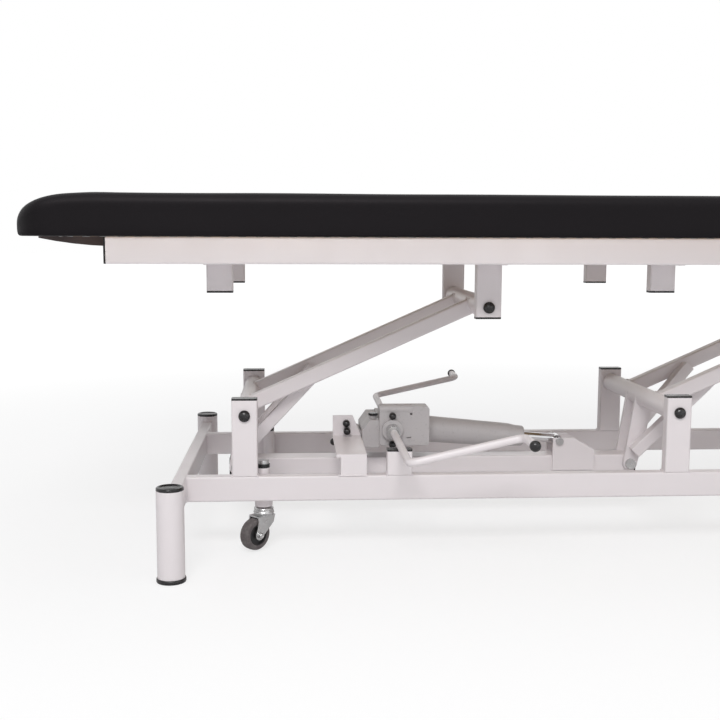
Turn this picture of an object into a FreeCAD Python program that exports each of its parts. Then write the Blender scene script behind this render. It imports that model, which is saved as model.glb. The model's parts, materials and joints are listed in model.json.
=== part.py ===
"""Height-adjustable examination couch: one flat padded top on a parallelogram lift.

Frame: +X along the couch, +Y across it, +Z up. The origin is on the floor, under the
middle of the padded top. The couch is modelled part-way up its travel.
"""
import FreeCAD, Part
import math
import os

from FreeCAD import Vector

# ---- driving dimensions, in millimetres and degrees ----
couch_length = 1880.0
couch_width = 700.0
pad_thickness = 60.0
top_height = 556.0
board_thickness = 15.0
board_end_inset = 60.0
board_side_inset = 45.0
nose_length = 118.0
nose_fullness = 2.4
nose_tip_rise = 14.0
nose_belly = 8.0
pad_corner = 45.0
nose_panel_depth = 14.3
nose_panel_length = 235.0

tube_long_side = 40.0
tube_short_side = 20.0
tube_wall = 2.0
tube_corner = 3.0
cap_thickness = 3.0

base_rail_low = 84.0
base_half_spacing = 180.0
column_radius = 20.0
column_height = 138.0
column_half_spacing = 314.0
column_left_x = -735.0
column_right_x = 615.0

post_left_x = -634.0
post_spacing = 690.0
post_top = 247.0
pivot_low_z = 220.0
arm_run = 380.0
arm_rise = 168.0
arm_half_spacing = 77.0
arm_depth = 25.0
pivot_tube_radius = 16.0
pivot_bolt_radius = 5.0
running_gap = 0.05
side_gap = 1.0

rail_length = 1666.0
rail_half_spacing = 237.0
bracket_bottom = 370.0
stub_bottom = 411.0

lever_reach = 23.0
lever_drop = 118.0
lever_plate = 6.0
tie_bar_width = 40.0
tie_bar_height = 30.0
tie_bar_overhang = 12.0
tie_pin_radius = 6.0

pump_left = -413.0
pump_right = -328.0
pump_low = 145.0
pump_high = 211.0
pump_half = 60.0
pump_shoulder_y = -22.0
pump_shoulder_drop = 21.0
pump_knob_x = -481.0
pump_knob_z = 142.0
pump_lug_below = 9.0
pump_lug_above = 26.0
pump_bracket_x = -464.0
pump_bracket_back = 25.0
pump_bracket_plate = 5.0

ram_slope = 4.8
ram_start_x = -356.0
ram_pin_setback = 150.0
barrel_end = 166.0
cover_start = 30.0
ram_start_z = 165.0
pedal_shaft_x = -391.0
pedal_shaft_z = 172.0
pedal_half_spacing = 325.0
pedal_bar_length = 172.0
pedal_bar_angle = 12.5
pedal_foot_length = 62.0
pedal_rod_radius = 6.0

caster_inset_x = 129.0
caster_half_spacing = 159.0
caster_wheel_radius = 25.0
caster_wheel_width = 18.0
caster_floor_gap = 2.0
caster_trail = 19.0

# ---- values worked out from the driving dimensions ----
pad_bottom = top_height - pad_thickness
rail_low = pad_bottom - tube_long_side
base_rail_high = base_rail_low + tube_long_side
arm_length = math.hypot(arm_run, arm_rise)
arm_angle = math.degrees(math.atan2(arm_rise, arm_run))
post_right_x = post_left_x + post_spacing
post_inner_face = base_half_spacing - tube_short_side / 2
tie_z = pivot_low_z - lever_drop
tie_top = tie_z + tie_bar_height / 2
tie_left_x = post_left_x - lever_reach
tie_right_x = post_right_x - lever_reach
lever_inner_face = tie_bar_width / 2 + side_gap
lever_outer_face = lever_inner_face + lever_plate
ram_pin_x = post_right_x - ram_pin_setback
ram_pin_z = ram_start_z - (ram_pin_x - ram_start_x) * math.tan(math.radians(ram_slope))
caster_axle_z = caster_wheel_radius + caster_floor_gap

os.makedirs("parts", exist_ok=True)


def export(node, shapes):
    """Writes one node, which may be a group of separate solids."""
    solids = []
    for shape in shapes:
        solids.extend(shape.Solids)
    body = solids[0] if len(solids) == 1 else Part.makeCompound(solids)
    body.exportStep("parts/" + node + ".step")


def block(low, high):
    """A plain box between two opposite corners."""
    size = Vector(*high) - Vector(*low)
    return Part.makeBox(size.x, size.y, size.z, Vector(*low))


def rod(start, end, radius):
    """A round bar between two points."""
    start = Vector(*start)
    along = Vector(*end) - start
    return Part.makeCylinder(radius, along.Length, start, along)


def round_edges(shape, direction, radius):
    """Rounds every straight edge that runs along one direction."""
    axis = Vector(*direction)
    edges = []
    for edge in shape.Edges:
        if abs(edge.tangentAt(edge.FirstParameter).dot(axis)) > 0.99:
            edges.append(edge)
    return shape.makeFillet(radius, edges)


def square_tube(low, high, direction):
    """A hollow rectangular tube with rounded corners, open at both ends."""
    axis = Vector(*direction)
    inset = Vector(tube_wall, tube_wall, tube_wall) - axis * tube_wall
    inner_low = Vector(*low) + inset - axis
    inner_high = Vector(*high) - inset + axis
    outer = round_edges(block(low, high), direction, tube_corner)
    inner = round_edges(block(inner_low, inner_high), direction, tube_corner - tube_wall)
    return outer.cut(inner)


def mirror_y(shape):
    """The same shape on the other side of the couch."""
    return shape.mirror(Vector(0, 0, 0), Vector(0, 1, 0))


def both_sides(shape):
    return [shape, mirror_y(shape)]


def flat_cap(x, y, low, length=tube_long_side, width=tube_short_side):
    """A thin plastic cap that closes the end of an upright tube."""
    cap = block((x - length / 2, y - width / 2, low), (x + length / 2, y + width / 2, low + cap_thickness))
    return round_edges(cap, (0, 0, 1), tube_corner)


def dome_cap(centre, direction, radius=9.0, height=8.0):
    """A domed plastic cap; its flat back is at the centre point."""
    rise = min(height * 0.6, radius)
    rim_z = height - rise
    ball = (radius ** 2 + rise ** 2) / (2 * rise)
    half_angle = math.atan2(rise, radius)
    back = Vector(0, 0, 0)
    corner = Vector(radius, 0, 0)
    rim = Vector(radius, 0, rim_z)
    shoulder = Vector(ball * math.sin(half_angle), 0, height - ball + ball * math.cos(half_angle))
    crown = Vector(0, 0, height)
    edges = [Part.LineSegment(back, corner).toShape(), Part.LineSegment(corner, rim).toShape(),
             Part.Arc(rim, shoulder, crown).toShape(), Part.LineSegment(crown, back).toShape()]
    turned = Part.Face(Part.Wire(edges)).revolve(back, Vector(0, 0, -1), 360)
    turn = FreeCAD.Rotation(Vector(0, 0, 1), Vector(*direction))
    turned.Placement = FreeCAD.Placement(Vector(*centre), turn)
    return turned


def upright_tube(x, y, low, high):
    """An upright frame tube, wide side facing the side of the couch."""
    half_x = tube_long_side / 2
    half_y = tube_short_side / 2
    return square_tube((x - half_x, y - half_y, low), (x + half_x, y + half_y, high), (0, 0, 1))


def bolt_hole(x, z, y_start, y_end, radius=pivot_bolt_radius):
    return rod((x, y_start, z), (x, y_end, z), radius)


# ---- base frame ----
def make_base_tubes():
    left = column_left_x + tube_short_side / 2
    right = column_right_x - tube_short_side / 2
    near = square_tube((left, -base_half_spacing - 10, base_rail_low),
                       (right, -base_half_spacing + 10, base_rail_high), (1, 0, 0))
    export("base_tube_near", [near])
    export("base_tube_far", [mirror_y(near)])
    ends = []
    reach = column_half_spacing - column_radius + 4
    for x in (column_left_x, column_right_x):
        tube = square_tube((x - 10, -reach, base_rail_low), (x + 10, reach, base_rail_high), (0, 1, 0))
        for side in (-1, 1):
            tube = tube.cut(rod((x, side * column_half_spacing, 0), (x, side * column_half_spacing, 200),
                                column_radius))
        ends.append(tube)
    export("base_end_tubes", ends)


def make_columns():
    columns = []
    top_caps = []
    feet = []
    foot = 6.0
    for x in (column_left_x, column_right_x):
        for y in (-column_half_spacing, column_half_spacing):
            outer = rod((x, y, foot), (x, y, column_height - cap_thickness), column_radius)
            bore = rod((x, y, 0), (x, y, column_height), column_radius - tube_wall)
            columns.append(outer.cut(bore))
            cap = rod((x, y, column_height - cap_thickness), (x, y, column_height), column_radius)
            top_caps.append(cap)
            pad = rod((x, y, 0), (x, y, foot), column_radius + 1)
            plug = rod((x, y, foot), (x, y, foot + 12), column_radius - tube_wall)
            feet.append(pad.fuse(plug).removeSplitter())
    export("support_columns", columns)
    export("column_feet", feet)
    return top_caps


def make_posts():
    """The four uprights that carry the lower arm pivots, with their bolts and caps."""
    posts = []
    bolts = []
    caps = []
    domes = []
    outer_face = base_half_spacing + tube_short_side / 2
    bolt_end = post_inner_face - 26
    for x in (post_left_x, post_right_x):
        post = upright_tube(x, -base_half_spacing, base_rail_high, post_top - cap_thickness)
        post = post.cut(bolt_hole(x, pivot_low_z, -outer_face - 1, -bolt_end))
        shank = bolt_hole(x, pivot_low_z, -outer_face, -bolt_end)
        posts.extend(both_sides(post))
        bolts.extend(both_sides(shank))
        caps.extend(both_sides(flat_cap(x, -base_half_spacing, post_top - cap_thickness)))
        domes.extend(both_sides(dome_cap((x, -outer_face, pivot_low_z), (0, -1, 0))))
    export("arm_posts", posts)
    export("lower_pivot_bolts", bolts)
    export("lower_bolt_caps", domes)
    return caps


def make_pedal_rests():
    """Short posts under the pedal shaft, capped like the arm posts."""
    rest_top = pedal_shaft_z - pedal_rod_radius - 1.5
    post = upright_tube(pedal_shaft_x, -base_half_spacing, base_rail_high, rest_top - cap_thickness)
    cap = flat_cap(pedal_shaft_x, -base_half_spacing, rest_top - cap_thickness)
    export("pedal_rest_posts", both_sides(post))
    return both_sides(cap)


# ---- lifting arms ----
def along_arm(pivot_x, distance, across, y=0.0):
    """A point measured along the arm from its lower pivot, and across it."""
    slope = math.radians(arm_angle)
    x = pivot_x + distance * math.cos(slope) - across * math.sin(slope)
    z = pivot_low_z + distance * math.sin(slope) + across * math.cos(slope)
    return (x, y, z)


def make_pivot_tube(x, z):
    """A round cross tube with a plug at each end that turns on the pivot bolts."""
    reach = post_inner_face - side_gap
    plug_length = 24.0
    tube = rod((x, -reach, z), (x, reach, z), pivot_tube_radius)
    tube = tube.cut(rod((x, -reach + plug_length, z), (x, reach - plug_length, z), pivot_tube_radius - 3))
    for side in (-1, 1):
        tube = tube.cut(bolt_hole(x, z, side * (reach + 1), side * (reach - plug_length - 1),
                                  pivot_bolt_radius + running_gap))
    return tube


def make_arm(pivot_x, y):
    half = tube_short_side / 2
    arm = square_tube((pivot_x, y - half, pivot_low_z - arm_depth / 2),
                      (pivot_x + arm_length, y + half, pivot_low_z + arm_depth / 2), (1, 0, 0))
    arm.rotate(Vector(pivot_x, 0, pivot_low_z), Vector(0, 1, 0), -arm_angle)
    for distance in (0.0, arm_length):
        x, _, z = along_arm(pivot_x, distance, 0)
        arm = arm.cut(rod((x, y - 20, z), (x, y + 20, z), pivot_tube_radius))
    return max(arm.Solids, key=lambda solid: solid.Volume)


def make_lever(pivot_x):
    """A flat lever that hangs from the lower pivot tube and turns the arms."""
    top_half = 17.0
    tip_radius = 12.0
    tip = Vector(pivot_x - lever_reach, -lever_outer_face, tie_z)
    pivot = Vector(pivot_x, -lever_outer_face, pivot_low_z)
    down = (tip - pivot).normalize()
    across = Vector(down.z, 0, -down.x)
    corners = [pivot + across * top_half, pivot - across * top_half,
               tip - across * tip_radius, tip + across * tip_radius]
    web = Part.Face(Part.makePolygon(corners + [corners[0]])).extrude(Vector(0, lever_plate, 0))
    lever = web.fuse(rod(tip, tip + Vector(0, lever_plate, 0), tip_radius)).removeSplitter()
    lever = lever.cut(rod((pivot_x, -40, pivot_low_z), (pivot_x, 0, pivot_low_z), pivot_tube_radius))
    lever = lever.cut(bolt_hole(tip.x, tip.z, -40, 0, tie_pin_radius + running_gap))
    return max(lever.Solids, key=lambda solid: solid.Volume)


def make_strut(pivot_x):
    """A slanting square bar from the lever's foot to the inner face of one arm."""
    size = 20.0
    end_x, _, end_z = along_arm(pivot_x, 117, -3)
    arm_inner = arm_half_spacing - tube_short_side / 2
    start = Vector(pivot_x - 19, -lever_outer_face - 8, pivot_low_z - 95)
    end = Vector(end_x, -arm_inner + 5, end_z)
    along = end - start
    bar = block((-size / 2, -size / 2, 0), (size / 2, size / 2, along.Length))
    bar = round_edges(bar, (0, 0, 1), 2)
    flat = math.hypot(along.x, along.z)
    bar.rotate(Vector(0, 0, 0), Vector(1, 0, 0), math.degrees(math.atan2(-along.y, flat)))
    bar.rotate(Vector(0, 0, 0), Vector(0, 1, 0), math.degrees(math.atan2(along.x, along.z)))
    bar.translate(start)
    bar = bar.cut(block((-2000, -lever_outer_face, 0), (2000, 400, 900)))
    return bar.cut(block((-2000, -400, 0), (2000, -arm_inner, 900)))


def make_arm_set(prefix, pivot_x):
    top_x, _, top_z = along_arm(pivot_x, arm_length, 0)
    near = make_arm(pivot_x, -arm_half_spacing)
    export(prefix + "_arms", both_sides(near))
    export(prefix + "_lower_pivot_tube", [make_pivot_tube(pivot_x, pivot_low_z)])
    export(prefix + "_upper_pivot_tube", [make_pivot_tube(top_x, top_z)])
    export(prefix + "_levers", both_sides(make_lever(pivot_x)))
    export(prefix + "_lever_struts", both_sides(make_strut(pivot_x)))


# ---- tie bar between the levers ----
def make_tie_bar():
    left = tie_left_x - tie_bar_overhang
    right = tie_right_x + tie_bar_overhang
    half_y = tie_bar_width / 2
    half_z = tie_bar_height / 2
    bar = square_tube((left + cap_thickness, -half_y, tie_z - half_z),
                      (right - cap_thickness, half_y, tie_z + half_z), (1, 0, 0))
    pins = []
    pin_reach = lever_outer_face + side_gap
    for x in (tie_left_x, tie_right_x):
        bar = bar.cut(bolt_hole(x, tie_z, -half_y - 1, half_y + 1, tie_pin_radius))
        pin = bolt_hole(x, tie_z, -pin_reach, pin_reach, tie_pin_radius)
        for side in (-1, 1):
            pin = pin.fuse(rod((x, side * pin_reach, tie_z), (x, side * (pin_reach + 5), tie_z), 9))
        pins.append(pin.removeSplitter())
    caps = []
    for x in (left, right - cap_thickness):
        cap = block((x, -half_y, tie_z - half_z), (x + cap_thickness, half_y, tie_z + half_z))
        caps.append(round_edges(cap, (1, 0, 0), tube_corner))
    export("tie_bar", [bar])
    export("tie_bar_end_caps", caps)
    make_gussets(pins)


def make_gussets(pins):
    """Two plates on the tie bar's sides that take the ram's thrust."""
    thickness = 5.0
    left = ram_pin_x - 11
    inner = tie_bar_width / 2
    outer = inner + thickness
    foot = tie_z - 11
    outline = [(left, foot), (left, tie_top + 31), (left + 37, tie_top + 31), (left + 74, tie_top + 10),
               (left + 74, foot)]
    points = [Vector(x, -outer, z) for x, z in outline]
    plate = Part.Face(Part.makePolygon(points + [points[0]])).extrude(Vector(0, thickness, 0))
    plate = plate.cut(bolt_hole(ram_pin_x, ram_pin_z, -40, 0))
    stub = bolt_hole(ram_pin_x, ram_pin_z, -outer, -inner)
    stub = stub.fuse(rod((ram_pin_x, -outer - 4, ram_pin_z), (ram_pin_x, -outer, ram_pin_z), 6.5))
    export("ram_gussets", both_sides(plate))
    export("tie_bar_pins", pins + both_sides(stub.removeSplitter()))


# ---- hydraulic pump and ram ----
def on_ram(distance, lift=0.0):
    """A point on the ram's axis, measured from where the cylinder leaves the pump."""
    slope = math.radians(-ram_slope)
    x = ram_start_x + distance * math.cos(slope)
    return Vector(x, 0, ram_start_z + distance * math.sin(slope) + lift)


def ram_direction():
    slope = math.radians(-ram_slope)
    return Vector(math.cos(slope), 0, math.sin(slope))


def ram_cylinder(start, end, radius):
    return Part.makeCylinder(radius, end - start, on_ram(start), ram_direction())


def ram_shell(stations):
    """A round body along the ram's axis from (distance, radius) stations."""
    points = [Vector(radius, 0, distance) for distance, radius in stations]
    first = Vector(0, 0, stations[0][0])
    last = Vector(0, 0, stations[-1][0])
    face = Part.Face(Part.makePolygon([first] + points + [last, first]))
    solid = face.revolve(Vector(0, 0, 0), Vector(0, 0, 1), 360)
    solid.rotate(Vector(0, 0, 0), Vector(0, 1, 0), 90 + ram_slope)
    solid.translate(on_ram(0))
    return solid


def make_pump():
    housing = block((pump_left, -pump_half, pump_low), (pump_right, pump_half, pump_high))
    housing = round_edges(housing, (0, 1, 0), 5)
    plunger_y = -pump_half + 8
    plunger_z = pump_high - 5
    plunger_cover = rod((pump_left, plunger_y, plunger_z), (pump_left + 56, plunger_y, plunger_z), 9)
    low_back = block((pump_left - 1, pump_shoulder_y, pump_high - pump_shoulder_drop),
                     (pump_right + 1, pump_half + 1, pump_high + 10))
    housing = housing.cut(low_back).fuse(plunger_cover)
    housing = housing.cut(ram_cylinder(0, 60, 18.5))
    housing = housing.cut(bolt_hole(pedal_shaft_x, pedal_shaft_z, -pump_half - 1, pump_half + 1,
                                    pedal_rod_radius + 1 + running_gap))
    mark_x = pump_left + 54
    sight_hole = bolt_hole(mark_x, pump_high - 12, -pump_half - 2, -pump_half + 6, 2)
    slot = block((mark_x - 8, -pump_half - 1, pump_low + 12), (mark_x, -pump_half + 3, pump_low + 14))
    housing = housing.cut(sight_hole).cut(slot)
    export("pump_housing", [max(housing.Solids, key=lambda solid: solid.Volume)])
    make_pump_flanges(make_reservoir())


def make_reservoir():
    """The oil tank behind the pump, its filler neck and the lug that holds the pump."""
    tank_left = pump_left - 29
    tank_top = 188
    outline = [(pump_left, 141), (pump_left, tank_top), (pump_left - 16, tank_top),
               (tank_left, tank_top - 18), (tank_left, 141)]
    points = [Vector(x, -56, z) for x, z in outline]
    tank = Part.Face(Part.makePolygon(points + [points[0]])).extrude(Vector(0, 112, 0))
    neck_x = pump_left - 9
    neck = rod((neck_x, -34, tank_top), (neck_x, -34, tank_top + 5), 6)
    lug = block((pump_knob_x, -25, pump_knob_z - pump_lug_below),
                (tank_left, 25, pump_knob_z + pump_lug_above))
    lug = round_edges(lug, (0, 1, 0), 6)
    export("oil_reservoir", [tank.fuse(neck).fuse(lug).removeSplitter()])
    return rod((neck_x, -34, tank_top + 5), (neck_x, -34, tank_top + 9), 7.5)


def make_pump_flanges(filler_cap):
    """Round bearing plates for the pedal shaft, and every black cap on the pump."""
    plate = bolt_hole(pedal_shaft_x, pedal_shaft_z, -pump_half - 6, -pump_half, 18)
    plate = plate.cut(bolt_hole(pedal_shaft_x, pedal_shaft_z, -pump_half - 7, -pump_half + 1,
                                pedal_rod_radius + 1 + running_gap))
    plates = both_sides(plate)
    caps = [filler_cap]
    for offset in (-25, 24.2):
        screw = dome_cap((pedal_shaft_x, -pump_half, pedal_shaft_z + offset), (0, -1, 0), 6.0, 12.0)
        caps.append(screw)
    bracket_face = -pump_bracket_back - pump_bracket_plate
    caps.append(dome_cap((pump_bracket_x - 3, bracket_face, 166), (0, -1, 0), 6.2, 16.0))
    caps.append(dome_cap((pump_bracket_x - 4, bracket_face, 178.8), (0, -1, 0), 6.2, 11.0))
    caps.append(dome_cap((pump_knob_x, -8, pump_knob_z), (-1, 0, 0), 6.5, 14.0))
    export("pump_flanges", plates)
    export("pump_black_caps", caps)


def make_pump_bracket():
    """A bent plate from the near base tube to the pump's rear lug."""
    left = pump_bracket_x - 27
    right = pump_bracket_x + 21
    shelf_top = 158.0
    front = -base_half_spacing - tube_short_side / 2
    back = -pump_bracket_back - pump_bracket_plate
    foot = block((left + 7, front, base_rail_high), (right, front + pump_bracket_plate, shelf_top))
    shelf_end = back + pump_bracket_plate
    shelf = block((left, front, shelf_top - pump_bracket_plate), (right, shelf_end, shelf_top))
    outline = [(left, shelf_top), (left, shelf_top + 34), (left + 34, shelf_top + 34), (right, shelf_top)]
    points = [Vector(x, back, z) for x, z in outline]
    upstand = Part.Face(Part.makePolygon(points + [points[0]])).extrude(Vector(0, pump_bracket_plate, 0))
    relief = rod((pump_bracket_x - 3, back - 9, 140), (pump_bracket_x - 3, back - 9, shelf_top), 8.5)
    bracket = foot.fuse(shelf).fuse(upstand).removeSplitter().cut(relief)
    export("pump_bracket", [bracket])


def make_ram():
    cover_outer = ram_shell([(cover_start, 23), (174, 20.5), (186, 18.5), (200, 17.8), (202, 16.5)])
    cover_inner = ram_shell([(cover_start - 1, 20.5), (170, 18.2), (182, 15), (203, 15)])
    export("cylinder_cover", [cover_outer.cut(cover_inner)])
    gland = 8.0
    barrel = ram_cylinder(0, barrel_end, 17.5)
    barrel = barrel.cut(ram_cylinder(6, barrel_end - gland, 13))
    barrel = barrel.cut(ram_cylinder(barrel_end - gland - 1, barrel_end + 1, 8 + running_gap))
    export("cylinder_barrel", [barrel])
    make_piston_rod()


def make_piston_rod():
    eye_radius = 8.0
    eye_distance = (ram_pin_x - ram_start_x) / math.cos(math.radians(ram_slope))
    piston = ram_cylinder(62, 74, 13 - running_gap)
    shaft = ram_cylinder(74, eye_distance - 4, 8)
    centre = on_ram(eye_distance)
    eye = rod(centre - Vector(0, 10, 0), centre + Vector(0, 10, 0), eye_radius)
    bore = rod(centre - Vector(0, 11, 0), centre + Vector(0, 11, 0), pivot_bolt_radius)
    export("piston_rod", [piston.fuse(shaft).fuse(eye).removeSplitter().cut(bore)])


# ---- foot pedals ----
def bent_rod(points, radius, bend):
    """A round rod through the points, with a round bend at each inner point."""
    vectors = [Vector(*point) for point in points]
    edges = []
    start = vectors[0]
    for corner, following in zip(vectors[1:-1], vectors[2:]):
        incoming = (corner - start).normalize()
        outgoing = (following - corner).normalize()
        half_turn = incoming.getAngle(outgoing) / 2
        setback = bend * math.tan(half_turn)
        entry = corner - incoming * setback
        leave = corner + outgoing * setback
        towards = (outgoing - incoming).normalize()
        middle = corner + towards * (bend / math.cos(half_turn) - bend)
        edges.append(Part.LineSegment(start, entry).toShape())
        edges.append(Part.Arc(entry, middle, leave).toShape())
        start = leave
    edges.append(Part.LineSegment(start, vectors[-1]).toShape())
    direction = (vectors[1] - vectors[0]).normalize()
    profile = Part.Wire([Part.Circle(vectors[0], direction, radius).toShape()])
    return Part.Solid(Part.Wire(edges).makePipeShell([profile], True, False).Shells[0])


def make_pedals():
    hub_start = pump_half + 6.5
    hub_end = pump_half + 32
    slope = math.radians(pedal_bar_angle)
    far_x = pedal_shaft_x + pedal_bar_length * math.cos(slope)
    far_z = pedal_shaft_z + pedal_bar_length * math.sin(slope)
    tip_y = -pedal_half_spacing - pedal_foot_length
    path = [(pedal_shaft_x, -hub_end, pedal_shaft_z), (pedal_shaft_x, -pedal_half_spacing, pedal_shaft_z),
            (far_x, -pedal_half_spacing, far_z), (far_x, tip_y, far_z)]
    near = bent_rod(path, pedal_rod_radius, 14)
    shaft = bolt_hole(pedal_shaft_x, pedal_shaft_z, -hub_start, hub_start, pedal_rod_radius + 1)
    for side in (-1, 1):
        shaft = shaft.fuse(bolt_hole(pedal_shaft_x, pedal_shaft_z, side * hub_start, side * hub_end, 11.5))
    cap = dome_cap((far_x, tip_y, far_z), (0, -1, 0), 8.0, 9.0)
    export("foot_pedals", both_sides(near))
    export("pedal_shaft", [shaft.removeSplitter()])
    export("pedal_end_caps", both_sides(cap))


# ---- top frame ----
def make_top_frame():
    half_length = rail_length / 2
    inner = rail_half_spacing - tube_short_side / 2
    outer = rail_half_spacing + tube_short_side / 2
    near = square_tube((-half_length + cap_thickness, -outer, rail_low),
                       (half_length - cap_thickness, -inner, pad_bottom), (1, 0, 0))
    export("top_rail_near", [near])
    export("top_rail_far", [mirror_y(near)])
    caps = []
    for x in (-half_length, half_length - cap_thickness):
        cap = block((x, -outer, rail_low), (x + cap_thickness, -inner, pad_bottom))
        caps.extend(both_sides(round_edges(cap, (1, 0, 0), tube_corner)))
    cross_tubes = []
    brackets = []
    stubs = []
    bolts = []
    domes = []
    arm_shift = arm_length - arm_run
    for post_x in (post_left_x, post_right_x):
        bracket_x = post_x + arm_run
        stub_x = post_x - arm_shift
        bracket, bolt, dome = make_bracket(bracket_x)
        stub = upright_tube(stub_x, -base_half_spacing, stub_bottom + cap_thickness, rail_low)
        brackets.extend(both_sides(bracket))
        bolts.extend(both_sides(bolt))
        domes.extend(both_sides(dome))
        stubs.extend(both_sides(stub))
        caps.extend(both_sides(flat_cap(bracket_x, -base_half_spacing, bracket_bottom)))
        caps.extend(both_sides(flat_cap(stub_x, -base_half_spacing, stub_bottom)))
        cross_tubes.extend(make_cross_tube(x, inner) for x in (bracket_x, stub_x))
    export("top_cross_tubes", cross_tubes)
    export("arm_brackets", brackets)
    export("stop_stubs", stubs)
    export("top_frame_caps", caps)
    export("upper_pivot_bolts", bolts)
    export("upper_bolt_caps", domes)


def make_cross_tube(x, reach):
    half = tube_long_side / 2
    return square_tube((x - half, -reach, rail_low), (x + half, reach, pad_bottom), (0, 1, 0))


def make_bracket(x):
    """One upper arm bracket with the pivot bolt through it and the bolt's cap."""
    z = pivot_low_z + arm_rise
    outer_face = base_half_spacing + tube_short_side / 2
    bolt_end = post_inner_face - 26
    bracket = upright_tube(x, -base_half_spacing, bracket_bottom + cap_thickness, rail_low)
    bracket = bracket.cut(bolt_hole(x, z, -outer_face - 1, -bolt_end))
    bolt = bolt_hole(x, z, -outer_face, -bolt_end)
    return bracket, bolt, dome_cap((x, -outer_face, z), (0, -1, 0))


def make_top_pad():
    """The padded top with a rounded nose at each end, wrapped round a plywood board."""
    half_length = couch_length / 2
    half_width = couch_width / 2
    board_x = half_length - board_end_inset
    board_y = half_width - board_side_inset
    board = block((-board_x, -board_y, pad_bottom), (board_x, board_y, pad_bottom + board_thickness))
    board = round_edges(board, (0, 0, 1), 40)
    slab = block((-half_length, -half_width, pad_bottom), (half_length, half_width, top_height))
    slab = round_edges(slab, (0, 0, 1), pad_corner)
    side_round = [edge for edge in slab.Edges if edge.BoundBox.ZMin > top_height - 1]
    slab = slab.makeFillet(12, side_round)
    pad = slab.common(nose_profile(half_length, half_width)).cut(board)
    export("pad_board", [board])
    export("pad", [pad])


def nose_curve(sign, half_length, y):
    """The sweep from the tip of one end up to the flat top, as a superellipse."""
    tip = pad_bottom + nose_tip_rise
    steps = 14
    points = []
    for step in range(steps + 1):
        angle = math.radians(90.0 * step / steps)
        reach = nose_length * max(math.cos(angle), 0.0) ** (2 / nose_fullness)
        rise = (top_height - tip) * math.sin(angle) ** (2 / nose_fullness)
        points.append(Vector(sign * (half_length - nose_length + reach), y, tip + rise))
    points[-1].x = sign * (half_length - nose_length)
    curve = Part.BSplineCurve()
    curve.interpolate(points)
    return curve.toShape()


def nose_profile(half_length, half_width):
    """The pad's side view: flat top and bottom, each end swept up in one long curve."""
    y = -half_width - 1
    edges = []
    for sign in (-1, 1):
        low = Vector(sign * (half_length - nose_belly), y, pad_bottom)
        tip = Vector(sign * half_length, y, pad_bottom + nose_tip_rise)
        belly = Vector(sign * (half_length - nose_belly * 0.3), y, pad_bottom + nose_tip_rise * 0.33)
        edges.append(Part.Arc(low, belly, tip).toShape())
        edges.append(nose_curve(sign, half_length, y))
    for reach, z in ((half_length - nose_belly, pad_bottom), (half_length - nose_length, top_height)):
        edges.append(Part.LineSegment(Vector(-reach, y, z), Vector(reach, y, z)).toShape())
    outline = Part.Wire(Part.__sortEdges__(edges))
    return Part.Face(outline).extrude(Vector(0, 2 * half_width + 2, 0))


def make_nose_panels():
    """A curved lining under each nose, between the two top rails."""
    tip = couch_length / 2 - nose_belly - 2
    inner = rail_half_spacing - tube_short_side / 2 - side_gap
    low = pad_bottom - nose_panel_depth
    flat = tip - 102
    root = couch_length / 2 - nose_panel_length
    start = Vector(tip, -inner, pad_bottom - 2.5)
    end = Vector(flat, -inner, low)
    bend = Part.Arc(start, Vector(tip - 52, -inner, pad_bottom - 10.8), end).toShape()
    corners = [end, Vector(root, -inner, low), Vector(root, -inner, pad_bottom),
               Vector(tip, -inner, pad_bottom), start]
    edges = [bend]
    for first, second in zip(corners, corners[1:]):
        edges.append(Part.LineSegment(first, second).toShape())
    panel = Part.Face(Part.Wire(Part.__sortEdges__(edges))).extrude(Vector(0, 2 * inner, 0))
    export("nose_panels", [panel, panel.mirror(Vector(0, 0, 0), Vector(1, 0, 0))])


# ---- castors ----
def caster_places():
    """Name, place and resting swivel angle of each castor."""
    left = column_left_x + caster_inset_x
    right = column_right_x - caster_inset_x
    near = -caster_half_spacing
    return [("near_left", left, near, 43.0), ("far_left", left, -near, 20.0),
            ("near_right", right, near, 150.0), ("far_right", right, -near, 205.0)]


def place_caster(shape, x, y, angle):
    """Turns a castor part about its stem and moves it under the base."""
    moved = shape.copy()
    moved.rotate(Vector(0, 0, 0), Vector(0, 0, 1), angle)
    moved.translate(Vector(x, y, 0))
    return moved


def make_fork():
    """The swivelling housing and its two cheeks, with the axle bolt, trailing along -X."""
    cheek_top = 56.0
    housing_top = 68.0
    plate = 2.5
    inside = caster_wheel_width / 2 + 1.0
    housing = Part.makeCone(14, 12, 8, Vector(0, 0, housing_top - 8), Vector(0, 0, 1))
    housing = housing.fuse(rod((0, 0, cheek_top), (0, 0, housing_top - 8), 14))
    crown = block((-20, -inside - plate, cheek_top - plate), (13, inside + plate, cheek_top))
    fork = housing.fuse(crown)
    outline = [(-20, cheek_top), (13, cheek_top), (10, 44), (-caster_trail + 8, caster_axle_z - 2),
               (-caster_trail - 8, caster_axle_z - 2), (-22, 44)]
    for side in (-1, 1):
        y = inside if side > 0 else -inside - plate
        points = [Vector(x, y, z) for x, z in outline]
        cheek = Part.Face(Part.makePolygon(points + [points[0]])).extrude(Vector(0, plate, 0))
        eye = rod((-caster_trail, y, caster_axle_z), (-caster_trail, y + plate, caster_axle_z), 8)
        fork = fork.fuse(cheek).fuse(eye)
    axle = rod((-caster_trail, -inside - plate - 2, caster_axle_z),
               (-caster_trail, inside + plate + 2, caster_axle_z), 3)
    nuts = []
    for side in (-1, 1):
        face = side * (inside + plate)
        nuts.append(bolt_hole(-caster_trail, caster_axle_z, face, face + side * 3, 5))
    fork = fork.fuse([axle] + nuts).removeSplitter()
    return fork.cut(rod((0, 0, 40), (0, 0, housing_top + 1), 6 + running_gap))


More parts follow.
